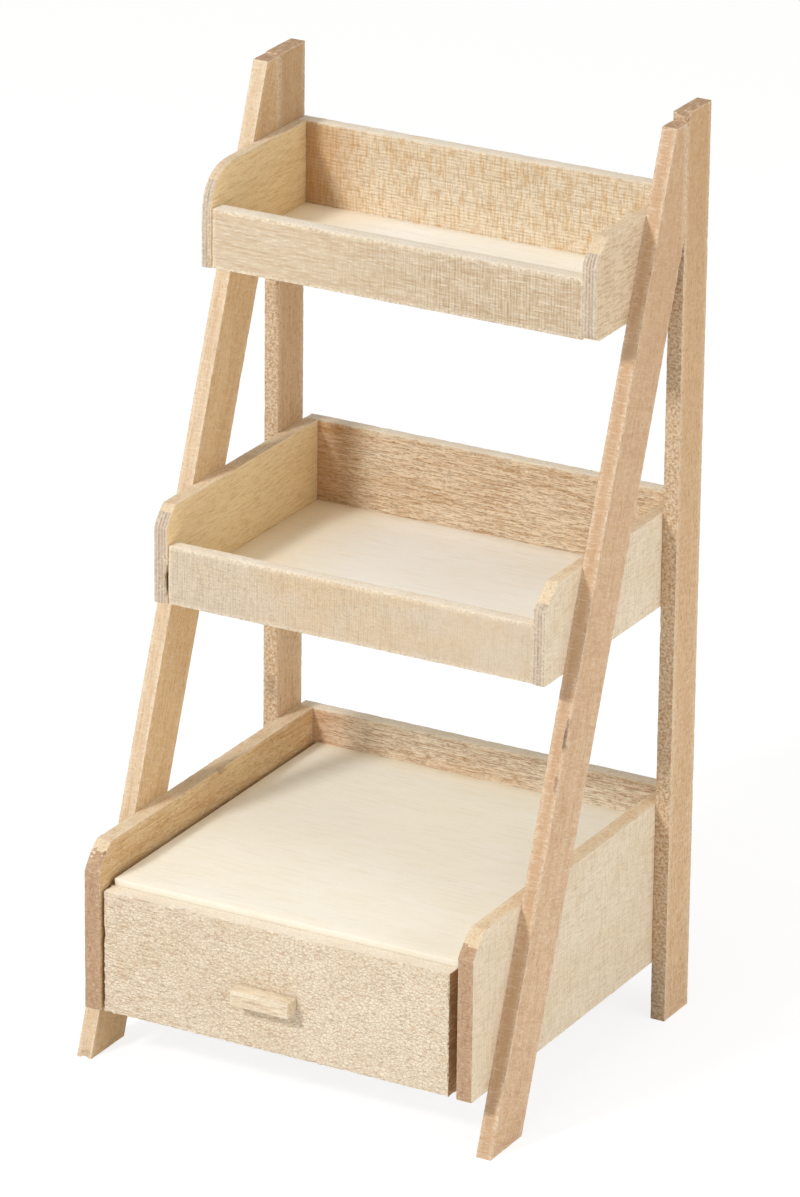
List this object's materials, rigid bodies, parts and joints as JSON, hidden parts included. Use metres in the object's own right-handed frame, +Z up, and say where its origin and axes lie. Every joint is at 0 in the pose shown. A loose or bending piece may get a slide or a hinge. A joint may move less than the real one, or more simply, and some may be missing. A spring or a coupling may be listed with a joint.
{
  "type": "plant ladder stand",
  "caption": "Miniature wooden ladder stand: stepped trays between two leaning ladder sides, over a base unit with a sliding drawer.",
  "frame": {"origin": "on the ground, under the middle of the stand's outline seen from above", "axes": "+X to the right seen from the front, +Y to the back, +Z up; the drawer opens towards -Y"},
  "size_m": [0.086, 0.0844, 0.1762],
  "materials": {
    "sawn_strip": "unfinished sawn hardwood strip",
    "sawn_board": "unfinished sawn hardwood board",
    "coarse_board": "unfinished rough sawn board",
    "smooth_panel": "smooth pale plywood"
  },
  "bodies": {
    "stand": {"left_rear_post": "sawn_strip", "right_rear_post": "sawn_strip", "left_front_leg": "sawn_strip", "right_front_leg": "sawn_strip", "top_tray_left_side": "sawn_board", "top_tray_right_side": "sawn_board", "top_tray_front": "sawn_board", "top_tray_back": "sawn_board", "top_tray_floor": "smooth_panel", "middle_tray_left_side": "sawn_board", "middle_tray_right_side": "sawn_board", "middle_tray_front": "sawn_board", "middle_tray_back": "sawn_board", "middle_tray_floor": "smooth_panel", "base_left_side": "sawn_board", "base_right_side": "sawn_board", "base_back": "sawn_board", "base_shelf": "smooth_panel", "base_floor": "smooth_panel"},
    "drawer": {"drawer_front": "coarse_board", "drawer_left_side": "sawn_board", "drawer_right_side": "sawn_board", "drawer_back": "sawn_board", "drawer_bottom": "smooth_panel", "drawer_pull": "sawn_strip"}
  },
  "joints": [
    {"name": "drawer_slide", "type": "slide", "parent": "stand", "child": "drawer", "axis": [0, -1, 0], "range_m": [0, 0.05]}
  ]
}
